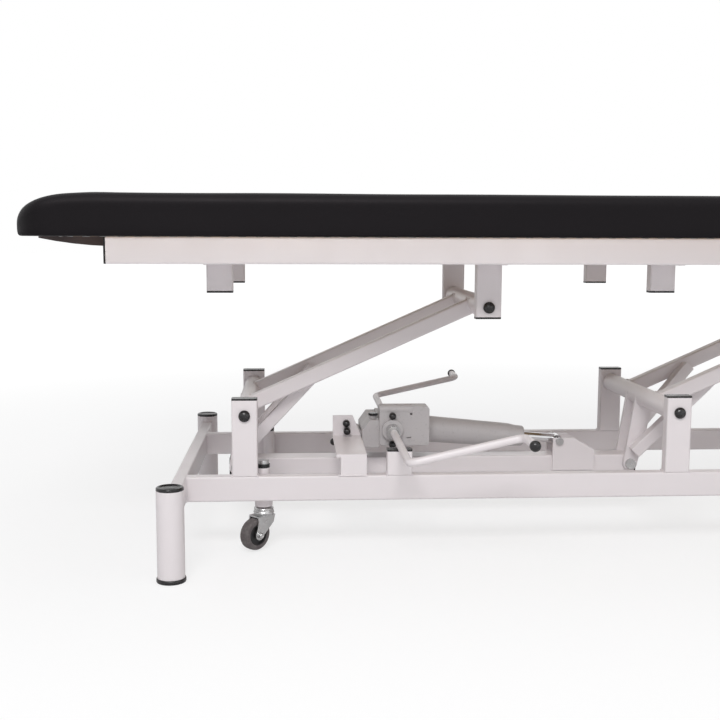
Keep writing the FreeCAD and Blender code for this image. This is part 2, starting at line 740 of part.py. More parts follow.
def make_wheel():
    """Tyre and hub of one castor wheel, turning on the axle bolt."""
    half = caster_wheel_width / 2
    centre_low = (-caster_trail, -half, caster_axle_z)
    centre_high = (-caster_trail, half, caster_axle_z)
    tyre = rod(centre_low, centre_high, caster_wheel_radius)
    tyre = tyre.makeFillet(4, tyre.Edges[0:1] + tyre.Edges[2:3])
    tyre = tyre.cut(rod(centre_low, centre_high, 17))
    hub = rod(centre_low, centre_high, 17)
    hub = hub.cut(rod(centre_low, centre_high, 3 + running_gap))
    dish = rod(centre_low, (-caster_trail, -half + 2, caster_axle_z), 15)
    dish = dish.cut(rod(centre_low, (-caster_trail, -half + 2, caster_axle_z), 7))
    hub = hub.cut(dish).cut(mirror_y(dish))
    return tyre, hub


def make_casters():
    fork = make_fork()
    tyre, hub = make_wheel()
    stem_top = 138.0
    sleeve_low = 70.0
    sleeve_high = 132.0
    sleeves = []
    stems = []
    washers = []
    for name, x, y, angle in caster_places():
        export("caster_fork_" + name, [place_caster(fork, x, y, angle)])
        export("caster_tyre_" + name, [place_caster(tyre, x, y, angle)])
        export("caster_hub_" + name, [place_caster(hub, x, y, angle)])
        sleeve = rod((x, y, sleeve_low), (x, y, sleeve_high), 10)
        side = 1 if y > 0 else -1
        sleeve = sleeve.fuse(rod((x, y, sleeve_low), (x, y, base_rail_low), 14))
        sleeve = sleeve.cut(rod((x, y, 0), (x, y, 200), 6))
        inner_face = side * post_inner_face
        beyond = block((x - 30, min(inner_face, side * 400), base_rail_low - 0.01),
                       (x + 30, max(inner_face, side * 400), 200))
        sleeves.append(sleeve.cut(beyond))
        stem = rod((x, y, 54), (x, y, stem_top), 6)
        stem = stem.fuse(rod((x, y, stem_top), (x, y, stem_top + 6), 8.5))
        stems.append(stem.removeSplitter())
        washer = rod((x, y, sleeve_high), (x, y, stem_top), 10).cut(rod((x, y, 0), (x, y, 200), 6))
        washers.append(washer)
    export("caster_sleeves", sleeves)
    export("caster_stems", stems)
    return washers


make_base_tubes()
export("base_end_caps", make_columns() + make_posts() + make_pedal_rests() + make_casters())
make_arm_set("left", post_left_x)
make_arm_set("right", post_right_x)
make_tie_bar()
make_pump_bracket()
make_pump()
make_ram()
make_pedals()
make_top_frame()
make_top_pad()
make_nose_panels()
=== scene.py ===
import json
import math

import bmesh
import bpy
from bpy.props import FloatProperty, FloatVectorProperty, PointerProperty
from mathutils import Matrix, Vector, noise


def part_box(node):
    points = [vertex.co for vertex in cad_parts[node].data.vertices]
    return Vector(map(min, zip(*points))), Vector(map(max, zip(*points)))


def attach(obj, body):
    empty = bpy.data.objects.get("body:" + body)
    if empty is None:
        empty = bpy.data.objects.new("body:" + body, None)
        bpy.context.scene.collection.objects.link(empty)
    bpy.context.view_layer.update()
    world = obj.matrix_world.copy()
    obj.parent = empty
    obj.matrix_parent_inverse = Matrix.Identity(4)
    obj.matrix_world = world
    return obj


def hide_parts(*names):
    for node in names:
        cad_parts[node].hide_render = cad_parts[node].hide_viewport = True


bl_info = {
    "name": "Examination couch",
    "version": (1, 0, 0),
    "blender": (4, 5, 0),
    "location": "View3D > Sidebar > Couch",
    "description": "Upholsters, finishes and lights a height-adjustable examination couch",
    "category": "Add Mesh",
}

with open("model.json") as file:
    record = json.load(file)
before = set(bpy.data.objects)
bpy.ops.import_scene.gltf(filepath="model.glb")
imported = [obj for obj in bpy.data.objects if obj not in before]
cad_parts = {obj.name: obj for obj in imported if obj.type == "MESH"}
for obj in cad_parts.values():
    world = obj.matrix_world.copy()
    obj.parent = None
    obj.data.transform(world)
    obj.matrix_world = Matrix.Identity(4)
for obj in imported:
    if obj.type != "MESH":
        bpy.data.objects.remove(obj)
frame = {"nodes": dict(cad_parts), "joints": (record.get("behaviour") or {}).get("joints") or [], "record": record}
CASTORS = ("near_left", "far_left", "near_right", "far_right")

CAMERA_PLACE = (-0.5518, -1.7675, 0.4935)
CAMERA_BEARING = 3.530
CAMERA_TILT = 6.734
CAMERA_LEAN = 0.189
CAMERA_LENS = 51.276
SENSOR_WIDTH = 36.0

LAMPS = (
    ("key_lamp", "key", (-0.9, -2.7, 2.5), (-0.4, 0, 0.15), 1.4, 0.9),
    ("top_lamp", "top", (-0.2, 0.2, 2.6), (-0.2, 0, 0.4), 3.0, 1.8),
    ("fill_lamp", "fill", (1.8, -2.4, 0.9), (0, 0, 0.3), 1.6, 1.4),
    ("rail_lamp", "rails", (-0.4, -2.4, 0.45), (-0.4, 0, 0.47), 2.0, 0.3),
)
FLOOR_HALF = 30
FLOOR_DROP = -0.0006
FLOOR_GLOW = 1.06
GLOW_SPAN = (("From Min", 0.9), ("From Max", 3.2), ("To Min", 0.68), ("To Max", 1.0))

HEM_BAND = 0.006
HEM_FADE = 0.020
STUFFING_FRAMES = 20
WALL_STEPS = 5
BOARD_RECESS = 0.004
END_STATION_STEP = 0.0006
MIDDLE_STATIONS = 112
SWAY = 0.0007
CREASE_DEPTH = 0.0011
CREASE_LENGTH = 0.115
CREASE_WIDTH = 0.10

ARM_SLOPE = 24
ARM_WELD_START = 0.009
LEVER_WELD_START = 0.004
RING_STEPS = 48
SEAM_INSET = 0.001
TUBE_SEAM_INSET = 0.002
COLUMN_REACH = 0.0175
SLEEVE_REACH = 0.0095
SLEEVE_LOW = 0.088
SLEEVE_HIGH = 0.122
STAPLE_MARGIN = 0.010
STAPLE_CORNER = 0.045
SCREW_ROWS = (-0.17, -0.06, 0.06, 0.17)
RIVET_REACH = 0.0155

# Turned details, as (radius, height) points.
CAP_RIM = (
    (0.0, 0.0004), (0.0125, 0.0004), (0.0132, 0.0002), (0.0150, 0.0002), (0.0156, 0.0010),
    (0.0168, 0.0016), (0.0186, 0.0014), (0.0198, 0.0004), (0.0199, -0.0008), (0.0, -0.0008),
)
FOOT_LIP = (
    (0.0211, 0.0), (0.0216, 0.0010), (0.0216, 0.0044), (0.0208, 0.0058), (0.0201, 0.0060),
    (0.0200, 0.0050), (0.0200, 0.0),
)
WIPER = (
    (0.0083, -0.001), (0.0128, -0.001), (0.0134, 0.0004), (0.0130, 0.0022), (0.0108, 0.0036),
    (0.0084, 0.0038),
)
RACEWAY = (
    (0.0068, 0.0685), (0.0125, 0.0685), (0.0150, 0.0672), (0.0158, 0.0655), (0.0152, 0.0640),
    (0.0146, 0.0630), (0.0160, 0.0618), (0.0166, 0.0598), (0.0160, 0.0578), (0.0142, 0.0568),
    (0.0138, 0.0562),
)
RIVET = (
    (0.0, 0.0026), (0.0014, 0.0026), (0.0018, 0.0032), (0.0034, 0.0028), (0.0042, 0.0014),
    (0.0044, 0.0), (0.0, 0.0),
)
TREAD_LINE = ((0.0249, -0.0006), (0.02530, 0.0), (0.0249, 0.0006))


# ---------------------------------------------------------------- sizes and colours
def colour(name, default, description):
    return FloatVectorProperty(name=name, description=description, subtype="COLOR", size=3,
                               min=0.0, max=1.0, default=default)


def length(name, default, description):
    return FloatProperty(name=name, description=description, default=default, min=0.0,
                         unit="LENGTH", precision=4)


def power(name, default, description):
    return FloatProperty(name=name, description=description, default=default, min=0.0, unit="POWER")


class CouchFinishes(bpy.types.PropertyGroup):
    paint: colour("Frame paint", (0.80, 0.750, 0.765), "Off-white powder coat of the frame")
    pump_paint: colour("Pump paint", (0.50, 0.475, 0.48), "Grey enamel of the pump and the ram cover")
    cap: colour("Caps", (0.012, 0.011, 0.012), "Black plastic of the end caps")
    vinyl: colour("Vinyl", (0.0070, 0.0063, 0.0073), "Black upholstery vinyl")
    zinc: colour("Zinc", (0.60, 0.60, 0.60), "Bright zinc plate of forks and bolts")
    chrome: colour("Chrome", (0.78, 0.78, 0.79), "Hard chrome of the piston rod")
    tread: colour("Tread", (0.115, 0.098, 0.100), "Grey rubber of the castor treads")
    plywood: colour("Plywood", (0.50, 0.36, 0.21), "Birch plywood under the pad")
    lining: colour("Lining", (0.085, 0.062, 0.060), "Brown lining under the pad's ends")


class CouchUpholstery(bpy.types.PropertyGroup):
    edge_radius: length("Edge radius", 0.013, "Rounding of the pad's long top edges")
    hem_radius: length("Hem radius", 0.004, "Rounding of the pad's lower edges")
    corner_radius: length("Corner radius", 0.045, "Rounding of the pad's corners in plan")
    nose: length("Nose length", 0.118, "Length of the sweep at each end of the pad")
    tip: length("Tip height", 0.014, "Height of the nose's tip above the pad's underside")
    belly: length("Nose underside", 0.008, "Length of the curve under the nose's tip")
    fullness: FloatProperty(name="Fullness", description="How boldly the nose is rounded", default=2.4,
                            min=2.0, max=8.0)
    slack: length("Slack", 0.0012, "How far the cover starts inside its finished size")
    puff: length("Puff", 0.0020, "Most that the stuffing may push the cover out")
    pressure: FloatProperty(name="Pressure", description="Pressure of the stuffing on the cover",
                            default=4.0, min=0.0, max=20.0)
    staple_pitch: length("Staple pitch", 0.024, "Distance between staples under the pad")


class CouchDetails(bpy.types.PropertyGroup):
    weld_radius: length("Weld radius", 0.0017, "Half the width of a weld bead")
    weld_pitch: length("Weld pitch", 0.0023, "Distance between the ripples of a weld")
    screw_radius: length("Screw head radius", 0.0055, "Radius of the pad's fixing screws")
    knurl_pitch: length("Knurl pitch", 0.0020, "Distance between ribs on the filler cap")


class CouchStage(bpy.types.PropertyGroup):
    floor: colour("Floor", (0.86, 0.86, 0.87), "Pale studio floor")
    key: power("Key lamp", 58.0, "Power of the large front lamp")
    top: power("Top lamp", 14.0, "Power of the lamp above the couch")
    fill: power("Fill lamp", 5.0, "Power of the lamp at the right")
    rails: power("Rail lamp", 14.0, "Power of the strip lamp on the near rail")
    ambient: FloatProperty(name="Ambient", description="Strength of the room's even light",
                           default=0.45, min=0.0)


def settings():
    return bpy.context.scene.couch_finishes


def new_node(tree, kind, **values):
    made = tree.nodes.new(kind)
    for key, value in values.items():
        setattr(made, key, value)
    return made


def wire(tree, *pairs):
    """Joins outputs to inputs, in the order given."""
    for source, target in pairs:
        tree.links.new(source, target)


# ---------------------------------------------------------------- material building
class Finish:
    """Builds one procedural material on object coordinates."""

    def __init__(self, name, base, roughness, metallic=0.0):
        self.material = bpy.data.materials.new(name)
        self.material.use_nodes = True
        self.tree = self.material.node_tree
        self.shader = self.tree.nodes["Principled BSDF"]
        self.shader.inputs["Base Color"].default_value = (*base, 1.0)
        self.shader.inputs["Roughness"].default_value = roughness
        self.shader.inputs["Metallic"].default_value = metallic
        self.material.diffuse_color = (*base, 1.0)
        self.place = self.node("ShaderNodeTexCoord").outputs["Object"]

    def node(self, kind, **values):
        return new_node(self.tree, kind, **values)

    def link(self, source, target):
        self.tree.links.new(source, target)

    def mapped(self, scale):
        mapping = self.node("ShaderNodeMapping")
        mapping.inputs["Scale"].default_value = scale
        self.link(self.place, mapping.inputs["Vector"])
        return mapping.outputs["Vector"]

    def noise(self, scale, detail=3.0, roughness=0.5, stretch=(1, 1, 1)):
        made = self.node("ShaderNodeTexNoise")
        made.inputs["Scale"].default_value = scale
        made.inputs["Detail"].default_value = detail
        made.inputs["Roughness"].default_value = roughness
        self.link(self.mapped(stretch), made.inputs["Vector"])
        return made.outputs["Fac"]

    def cells(self, scale, feature="F1", stretch=(1, 1, 1)):
        made = self.node("ShaderNodeTexVoronoi", feature=feature)
        made.inputs["Scale"].default_value = scale
        self.link(self.mapped(stretch), made.inputs["Vector"])
        return made.outputs["Distance"]

    def span(self, source, low, high, to_low, to_high):
        made = self.node("ShaderNodeMapRange")
        keys = ("From Min", "From Max", "To Min", "To Max")
        for key, value in zip(keys, (low, high, to_low, to_high)):
            made.inputs[key].default_value = value
        self.link(source, made.inputs["Value"])
        return made.outputs["Result"]

    def maths(self, operation, first, second):
        made = self.node("ShaderNodeMath", operation=operation)
        for socket, value in zip(made.inputs, (first, second)):
            if isinstance(value, (int, float)):
                socket.default_value = value
            else:
                self.link(value, socket)
        return made.outputs["Value"]

    def mix(self, factor, first, second):
        made = self.node("ShaderNodeMix", data_type="RGBA")
        self.link(factor, made.inputs["Factor"])
        for socket, value in ((made.inputs[6], first), (made.inputs[7], second)):
            if isinstance(value, tuple):
                socket.default_value = (*value, 1.0)
            else:
                self.link(value, socket)
        return made.outputs[2]

    def tint(self, factor, first, second):
        self.link(self.mix(factor, first, second), self.shader.inputs["Base Color"])

    def rough(self, source, low, high):
        self.link(self.span(source, 0.3, 0.7, low, high), self.shader.inputs["Roughness"])

    def relief(self, height, strength, distance, rounding=0.0):
        bump = self.node("ShaderNodeBump")
        bump.inputs["Strength"].default_value = strength
        bump.inputs["Distance"].default_value = distance
        self.link(height, bump.inputs["Height"])
        if rounding:
            bevel = self.node("ShaderNodeBevel", samples=4)
            bevel.inputs["Radius"].default_value = rounding
            self.link(bevel.outputs["Normal"], bump.inputs["Normal"])
        self.link(bump.outputs["Normal"], self.shader.inputs["Normal"])

    def edge_wear(self, reach):
        """Near 1 on sharp edges and 0 on flat faces."""
        bevel = self.node("ShaderNodeBevel", samples=6)
        bevel.inputs["Radius"].default_value = reach
        flat = self.node("ShaderNodeNewGeometry")
        dot = self.node("ShaderNodeVectorMath", operation="DOT_PRODUCT")
        self.link(bevel.outputs["Normal"], dot.inputs[0])
        self.link(flat.outputs["Normal"], dot.inputs[1])
        return self.span(dot.outputs["Value"], 0.995, 0.80, 0.0, 1.0)


def shade(base, amount):
    return tuple(channel * amount for channel in base)


def frame_paint(base):
    finish = Finish("powder_coat", base, 0.36)
    scuffs = finish.span(finish.noise(55, 4.0, 0.65), 0.52, 0.66, 0.0, 1.0)
    worn = finish.maths("MULTIPLY", finish.edge_wear(0.0011), scuffs)
    worn = finish.maths("MULTIPLY", worn, 0.5)
    cloudy = finish.mix(finish.noise(3.5, 2.0), shade(base, 0.965), shade(base, 1.02))
    finish.tint(worn, cloudy, shade((0.62, 0.58, 0.56), 0.75))
    finish.rough(finish.noise(24, 3.0), 0.30, 0.43)
    finish.relief(finish.noise(620, 1.0), 0.06, 0.0004, 0.0009)
    finish.shader.inputs["Coat Weight"].default_value = 0.12
    finish.shader.inputs["Coat Roughness"].default_value = 0.18
    return finish.material


def pump_paint(base):
    finish = Finish("pump_enamel", base, 0.42)
    specks = finish.span(finish.noise(240, 2.0), 0.60, 0.72, 0.0, 0.55)
    cloudy = finish.mix(finish.noise(9, 3.0), shade(base, 0.92), shade(base, 1.06))
    finish.tint(specks, cloudy, shade(base, 0.80))
    finish.rough(finish.noise(30, 3.0), 0.34, 0.52)
    finish.relief(finish.noise(380, 3.0, 0.6), 0.22, 0.0005, 0.0011)
    return finish.material


def cap_plastic(base):
    finish = Finish("moulded_cap", base, 0.30)
    worn = finish.span(finish.noise(60, 3.0), 0.4, 0.7, 0.0, 1.0)
    finish.tint(worn, shade(base, 0.85), shade(base, 1.9))
    finish.rough(finish.noise(90, 2.0), 0.18, 0.34)
    finish.relief(finish.noise(1500, 2.0), 0.08, 0.0002, 0.0007)
    return finish.material


def pad_vinyl(base):
    finish = Finish("upholstery_vinyl", base, 0.46)
    pebbles = finish.cells(820, "SMOOTH_F1")
    creases = finish.cells(430, "DISTANCE_TO_EDGE", (1.0, 1.25, 1.0))
    swell = finish.span(pebbles, 0.0, 0.8, 1.0, 0.0)
    grain = finish.maths("ADD", swell, finish.span(creases, 0.0, 0.09, 0.0, 0.8))
    grain = finish.maths("ADD", grain, finish.maths("MULTIPLY", finish.noise(2600, 2.0), 0.25))
    finish.tint(finish.noise(14.0, 4.0, 0.6), shade(base, 0.93), shade(base, 1.10))
    finish.rough(finish.noise(26.0, 4.0), 0.44, 0.49)
    finish.relief(grain, 0.30, 0.00018)
    finish.shader.inputs["Specular IOR Level"].default_value = 0.11
    finish.shader.inputs["Specular Tint"].default_value = (1.0, 0.90, 0.94, 1.0)
    return finish.material


def zinc_plate(base):
    finish = Finish("zinc_plate", base, 0.28, 1.0)
    finish.tint(finish.noise(70, 4.0, 0.6), shade(base, 0.78), shade(base, 1.12))
    finish.rough(finish.noise(45, 4.0), 0.18, 0.36)
    finish.relief(finish.noise(420, 3.0, 0.6, (1, 1, 0.25)), 0.10, 0.0003, 0.0008)
    return finish.material


def hard_chrome(base):
    finish = Finish("hard_chrome", base, 0.08, 1.0)
    film = finish.span(finish.noise(38, 3.0, 0.6, (0.2, 1, 1)), 0.45, 0.70, 0.0, 0.5)
    finish.tint(film, base, shade(base, 0.62))
    finish.rough(finish.noise(60, 3.0), 0.05, 0.15)
    finish.relief(finish.noise(900, 2.0, 0.5, (8, 0.5, 0.5)), 0.04, 0.0002)
    return finish.material


def tread_rubber(base):
    finish = Finish("castor_tread", base, 0.62)
    dust = finish.span(finish.noise(85, 4.0, 0.65), 0.42, 0.66, 0.0, 0.45)
    finish.tint(dust, shade(base, 0.85), shade((0.30, 0.28, 0.27), 0.75))
    finish.rough(finish.noise(60, 3.0), 0.52, 0.74)
    finish.relief(finish.noise(700, 4.0, 0.65), 0.30, 0.0004, 0.0006)
    return finish.material


def hub_plastic(base):
    finish = Finish("castor_hub", base, 0.45)
    finish.tint(finish.noise(110, 3.0), shade(base, 0.6), shade(base, 1.2))
    finish.rough(finish.noise(80, 2.0), 0.36, 0.55)
    finish.relief(finish.noise(1200, 2.0), 0.15, 0.0003, 0.0006)
    return finish.material


def plywood(base):
    finish = Finish("plywood", base, 0.62)
    grain = finish.noise(60, 5.0, 0.65, (0.06, 1.0, 1.0))
    plies = finish.node("ShaderNodeTexWave", wave_type="BANDS", bands_direction="Z", wave_profile="SAW")
    plies.inputs["Scale"].default_value = 52.0
    finish.link(finish.place, plies.inputs["Vector"])
    streaks = finish.mix(finish.span(grain, 0.35, 0.65, 0.0, 1.0), shade(base, 0.74), shade(base, 1.16))
    finish.tint(finish.maths("MULTIPLY", plies.outputs["Fac"], 0.22), streaks, shade(base, 0.5))
    finish.rough(grain, 0.55, 0.72)
    finish.relief(grain, 0.20, 0.0004)
    return finish.material


def nose_lining(base):
    finish = Finish("nose_lining", base, 0.72)
    warp = finish.noise(900, 1.0, 0.5, (1, 0.12, 1))
    weave = finish.maths("MAXIMUM", warp, finish.noise(900, 1.0, 0.5, (0.12, 1, 1)))
    finish.tint(finish.noise(14, 4.0, 0.6), shade(base, 0.75), shade(base, 1.3))
    finish.rough(finish.noise(40, 3.0), 0.64, 0.80)
    finish.relief(weave, 0.35, 0.0003)
    return finish.material


def staple_steel(base):
    finish = Finish("staple_steel", shade(base, 0.8), 0.32, 1.0)
    finish.tint(finish.noise(300, 2.0), shade(base, 0.55), shade(base, 0.95))
    finish.rough(finish.noise(200, 2.0), 0.25, 0.45)
    finish.relief(finish.noise(900, 2.0), 0.06, 0.0002)
    return finish.material


MAKERS = {
    "white_paint": (frame_paint, "paint"),
    "grey_paint": (pump_paint, "pump_paint"),
    "black_plastic": (cap_plastic, "cap"),
    "pad_vinyl": (pad_vinyl, "vinyl"),
    "zinc_steel": (zinc_plate, "zinc"),
    "chrome_steel": (hard_chrome, "chrome"),
    "castor_tread": (tread_rubber, "tread"),
    "castor_hub": (hub_plastic, "cap"),
    "pad_board": (plywood, "plywood"),
    "nose_lining": (nose_lining, "lining"),
    "staples": (staple_steel, "zinc"),
}
finished = {}


def finish_for(slot):
    if slot not in finished:
        maker, field = MAKERS[slot]
        finished[slot] = maker(tuple(getattr(settings(), field)))
    return finished[slot]


# ---------------------------------------------------------------- mesh helpers
def new_object(name, data):
    made = bpy.data.objects.new(name, data)
    bpy.context.scene.collection.objects.link(made)
    return made


def add_piece(name, mesh, finish, body=None):
    """A smooth piece with its finish, riding on a body where one is given."""
    piece = new_object(name, mesh)
    mesh.materials.clear()
    mesh.materials.append(finish_for(finish))
    mesh.shade_smooth()
    if body:
        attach(piece, body)
    return piece


def plain_mesh(name, source):
    """The mesh data of a bmesh, which is freed."""
    data = bpy.data.meshes.new(name)
    source.to_mesh(data)
    source.free()
    return data


def lathe(profile, segments=40):
    """A mesh turned about Z from (radius, height) points; a radius of 0 closes it."""
    mesh = bmesh.new()
    rings = []
    for radius, height in profile:
        if radius < 1e-7:
            rings.append([mesh.verts.new((0, 0, height))])
            continue
        ring = []
        for step in range(segments):
            angle = 2 * math.pi * step / segments
            ring.append(mesh.verts.new((radius * math.cos(angle), radius * math.sin(angle), height)))
        rings.append(ring)
    for low, high in zip(rings, rings[1:]):
        for step in range(segments):
            after = (step + 1) % segments
            corners = [low[step % len(low)], low[after % len(low)],
                       high[after % len(high)], high[step % len(high)]]
            kept = list(dict.fromkeys(corners))
            if len(kept) > 2:
                mesh.faces.new(kept)
    bmesh.ops.recalc_face_normals(mesh, faces=mesh.faces)
    return plain_mesh("lathe", mesh)


def merged(name, parts):
    """One mesh from (mesh, matrix) pairs."""
    whole = bmesh.new()
    for mesh, matrix in parts:
        piece = mesh.copy()
        piece.transform(matrix)
        whole.from_mesh(piece)
        bpy.data.meshes.remove(piece)
    return plain_mesh(name, whole)


def facing(place, direction):
    """A matrix that stands a part on place, with its Z axis along direction."""
    turn = Vector(direction).to_track_quat("Z", "Y").to_matrix().to_4x4()
    return Matrix.Translation(place) @ turn


# ---------------------------------------------------------------- repeating details
def new_tree(name, sockets):
    tree = bpy.data.node_groups.new(name, "GeometryNodeTree")
    tree.interface.new_socket("Geometry", in_out="INPUT", socket_type="NodeSocketGeometry")
    for label, kind in sockets:
        tree.interface.new_socket(label, in_out="INPUT", socket_type=kind)
    tree.interface.new_socket("Geometry", in_out="OUTPUT", socket_type="NodeSocketGeometry")
    return tree, tree.nodes.new("NodeGroupInput"), tree.nodes.new("NodeGroupOutput")


def close_tree(tree, source, group_in, group_out):
    realize = tree.nodes.new("GeometryNodeRealizeInstances")
    coat = tree.nodes.new("GeometryNodeSetMaterial")
    wire(tree, (source, realize.inputs["Geometry"]),
         (realize.outputs["Geometry"], coat.inputs["Geometry"]),
         (group_in.outputs["Material"], coat.inputs["Material"]),
         (coat.outputs["Geometry"], group_out.inputs["Geometry"]))


def bead_tree():
    """Weld ripples along every edge chain of a mesh."""
    tree, group_in, group_out = new_tree("weld_beads", [
        ("Radius", "NodeSocketFloat"), ("Pitch", "NodeSocketFloat"), ("Material", "NodeSocketMaterial")])
    curve = tree.nodes.new("GeometryNodeMeshToCurve")
    even = new_node(tree, "GeometryNodeResampleCurve", mode="LENGTH")
    ripple = tree.nodes.new("GeometryNodeMeshUVSphere")
    ripple.inputs["Segments"].default_value = 7
    ripple.inputs["Rings"].default_value = 4
    ripple.inputs["Radius"].default_value = 1.0
    tangent = tree.nodes.new("GeometryNodeInputTangent")
    turn = tree.nodes.new("FunctionNodeAlignRotationToVector")
    size = tree.nodes.new("ShaderNodeCombineXYZ")
    wobble = new_node(tree, "FunctionNodeRandomValue", data_type="FLOAT")
    wobble.inputs[2].default_value = 0.86
    wobble.inputs[3].default_value = 1.12
    wobble.inputs["Seed"].default_value = 4
    scaled = new_node(tree, "ShaderNodeVectorMath", operation="SCALE")
    spread = tree.nodes.new("GeometryNodeInstanceOnPoints")
    wire(tree, (group_in.outputs["Geometry"], curve.inputs["Mesh"]),
         (curve.outputs["Curve"], even.inputs["Curve"]),
         (group_in.outputs["Pitch"], even.inputs["Length"]),
         (tangent.outputs["Tangent"], turn.inputs["Vector"]),
         (group_in.outputs["Radius"], size.inputs["X"]),
         (group_in.outputs["Radius"], size.inputs["Y"]),
         (group_in.outputs["Pitch"], size.inputs["Z"]),
         (size.outputs["Vector"], scaled.inputs[0]),
         (wobble.outputs["Value"], scaled.inputs["Scale"]),
         (even.outputs["Curve"], spread.inputs["Points"]),
         (ripple.outputs["Mesh"], spread.inputs["Instance"]),
         (turn.outputs["Rotation"], spread.inputs["Rotation"]),
         (scaled.outputs["Vector"], spread.inputs["Scale"]))
    close_tree(tree, spread.outputs["Instances"], group_in, group_out)
    return tree


def stud_tree(name, evenly=False):
    """One part stood on each point of a mesh, or at an even pitch along its edges."""
    sockets = [("Part", "NodeSocketObject"), ("Material", "NodeSocketMaterial")]
    if evenly:
        sockets.append(("Pitch", "NodeSocketFloat"))
    tree, group_in, group_out = new_tree(name, sockets)
    link = tree.links.new
    points = group_in.outputs["Geometry"]
    heading = new_node(tree, "GeometryNodeInputNamedAttribute", data_type="FLOAT_VECTOR")
    heading.inputs["Name"].default_value = "outward"
    outward = heading.outputs["Attribute"]
    turn = new_node(tree, "FunctionNodeAlignRotationToVector", axis="Z")
    link(outward, turn.inputs["Vector"])
    rotation = turn.outputs["Rotation"]
    if evenly:
        curve = tree.nodes.new("GeometryNodeMeshToCurve")
        even = new_node(tree, "GeometryNodeResampleCurve", mode="LENGTH")
        tangent = tree.nodes.new("GeometryNodeInputTangent")
        along = new_node(tree, "FunctionNodeAlignRotationToVector", axis="X")
        link(points, curve.inputs["Mesh"])
        link(curve.outputs["Curve"], even.inputs["Curve"])
        link(group_in.outputs["Pitch"], even.inputs["Length"])
        link(rotation, along.inputs["Rotation"])
        link(tangent.outputs["Tangent"], along.inputs["Vector"])
        along.pivot_axis = "Z"
        points = even.outputs["Curve"]
        rotation = along.outputs["Rotation"]
    part = tree.nodes.new("GeometryNodeObjectInfo")
    part.inputs["As Instance"].default_value = True
    spread = tree.nodes.new("GeometryNodeInstanceOnPoints")
    link(group_in.outputs["Part"], part.inputs["Object"])
    link(points, spread.inputs["Points"])
    link(part.outputs["Geometry"], spread.inputs["Instance"])
    link(rotation, spread.inputs["Rotation"])
    close_tree(tree, spread.outputs["Instances"], group_in, group_out)
    return tree


def grow(name, points, edges, outward, tree, inputs, body):
    """Runs a tree on a small guide mesh and keeps its result as a plain mesh."""
    guide = bpy.data.meshes.new(name)
    guide.from_pydata(points, edges, [])
    if outward:
        heading = guide.attributes.new("outward", "FLOAT_VECTOR", "POINT")
        for item, direction in zip(heading.data, outward):
            item.vector = direction
    piece = new_object(name, guide)
    modifier = piece.modifiers.new("repeat", "NODES")
    modifier.node_group = tree
    for item in tree.interface.items_tree:
        if item.item_type == "SOCKET" and item.in_out == "INPUT" and item.name in inputs:
            modifier[item.identifier] = inputs[item.name]
    bpy.context.view_layer.update()
    evaluated = piece.evaluated_get(bpy.context.evaluated_depsgraph_get())
    result = bpy.data.meshes.new_from_object(evaluated)
    piece.modifiers.clear()
    piece.data = result
    result.shade_smooth()
    if not result.polygons:
        raise RuntimeError(name + " came out empty")
    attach(piece, body)
    return piece


# ---------------------------------------------------------------- upholstery
def sweep(reach, half, tailoring, tip, top):
    """Height of the cover's upper side at a distance from the middle of the couch."""
    inside = (reach - (half - tailoring.nose)) / tailoring.nose
    if inside <= 0:
        return top
    share = max(1 - min(inside, 1.0) ** tailoring.fullness, 0.0) ** (1 / tailoring.fullness)
    return tip + (top - tip) * share


def stations(half, nose):
    """Places along the couch where the cover's shape is worked out, closer at the ends."""
    outer = [half - END_STATION_STEP * step * step for step in range(16)]
    outer = [x for x in outer if x > half - nose - 0.012]
    inner = half - nose - 0.025
    middle = [-inner + 2 * inner * step / MIDDLE_STATIONS for step in range(MIDDLE_STATIONS + 1)]
    return [-x for x in outer] + middle + outer[::-1]


def across(width, board):
    """Places across the couch as fractions of the half width."""
    edge = [1.0, 0.9975, 0.992, 0.984, 0.974, 0.964, 0.95, 0.93, 0.905]
    hem = [(board + 0.002) / width, board / width, (board - 0.002) / width]
    flat = [0.84 - 0.84 * step / 16 for step in range(17)]
    side = sorted(set(edge + hem + flat))
    return [-value for value in side[:0:-1]] + side


